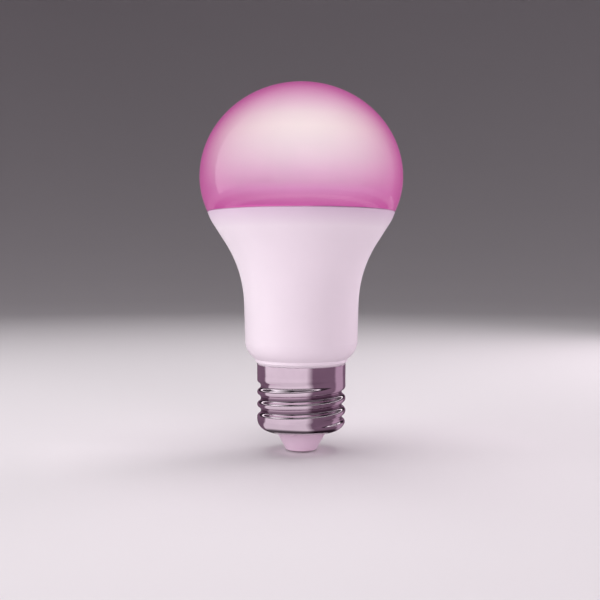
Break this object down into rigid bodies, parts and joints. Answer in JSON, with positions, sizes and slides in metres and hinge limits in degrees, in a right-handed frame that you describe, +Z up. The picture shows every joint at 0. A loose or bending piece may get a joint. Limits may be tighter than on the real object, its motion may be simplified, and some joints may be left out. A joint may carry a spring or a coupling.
{
  "type": "smart light bulb",
  "caption": "Screw-in smart bulb: an opal dome over a flared white housing, with an Edison screw cap, light board, driver and radio module inside.",
  "frame": {"origin": "centre of the centre contact's flat underside, on the bulb's axis", "axes": "+Z up the bulb's axis from the cap to the dome; -Y towards the viewer of the front; +X to that viewer's right"},
  "size_m": [0.06, 0.06, 0.1086],
  "materials": {
    "opal_dome": "frosted opal plastic, lit pink from inside",
    "dome_adhesive": "white silicone adhesive",
    "white_housing": "satin white moulded plastic",
    "nickel_shell": "bright nickel plate on thin sheet metal",
    "cap_insulator": "pale moulded plastic",
    "contact_metal": "nickel-plated brass button",
    "heat_sink_metal": "drawn aluminium",
    "thermal_pad": "grey silicone pad",
    "light_board": "white solder mask on aluminium",
    "screw_metal": "zinc-plated steel",
    "warm_led": "white package with amber phosphor",
    "cool_led": "white package with pale yellow phosphor",
    "colour_led": "white package with clear well",
    "sleeve_plastic": "natural insulating plastic",
    "circuit_board": "green solder mask on glass-fibre board",
    "capacitor_sleeve": "shrink sleeve on an aluminium can",
    "film_box": "red moulded box",
    "varistor_coat": "blue epoxy coat",
    "resistor_coat": "flameproof coat",
    "ferrite": "dark ferrite",
    "enamelled_wire": "enamelled copper wire",
    "bobbin_plastic": "black thermoset",
    "chip_plastic": "black moulded package with tinned legs",
    "chip_resistor": "thick film on alumina",
    "chip_capacitor": "layered ceramic",
    "solder": "bright solder",
    "radio_board": "dark blue solder mask",
    "shield_can": "tinned sheet metal",
    "antenna_copper": "gold-flashed copper track",
    "connector_plastic": "black moulded plastic",
    "pin_metal": "gold-flashed pins",
    "wire_sleeve": "red insulation",
    "tinned_wire": "tinned copper wire"
  },
  "bodies": {
    "root": {"diffuser_dome": "opal_dome", "dome_seal": "dome_adhesive", "housing_shell": "white_housing", "screw_shell": "nickel_shell", "cap_insulator": "cap_insulator", "centre_contact": "contact_metal", "heat_sink_cup": "heat_sink_metal", "thermal_pad": "thermal_pad", "led_board": "light_board", "led_board_screws": "screw_metal", "warm_white_leds": "warm_led", "cool_white_leds": "cool_led", "rgb_leds": "colour_led", "driver_sleeve": "sleeve_plastic", "driver_board": "circuit_board", "input_capacitor": "capacitor_sleeve", "output_capacitor": "capacitor_sleeve", "film_capacitor": "film_box", "varistor": "varistor_coat", "fuse_resistor": "resistor_coat", "inductor_core": "ferrite", "inductor_winding": "enamelled_wire", "transformer_core": "ferrite", "transformer_bobbin": "bobbin_plastic", "transformer_winding": "enamelled_wire", "bridge_rectifier": "chip_plastic", "driver_chip": "chip_plastic", "dimming_transistors": "chip_plastic", "chip_resistors": "chip_resistor", "chip_capacitors": "chip_capacitor", "solder_joints": "solder", "wifi_module_board": "radio_board", "wifi_shield": "shield_can", "antenna_trace": "antenna_copper", "module_header": "connector_plastic", "module_header_pins": "pin_metal", "light_socket": "connector_plastic", "light_pins": "pin_metal", "live_wire": "wire_sleeve", "neutral_wire": "tinned_wire"}
  },
  "joints": []
}
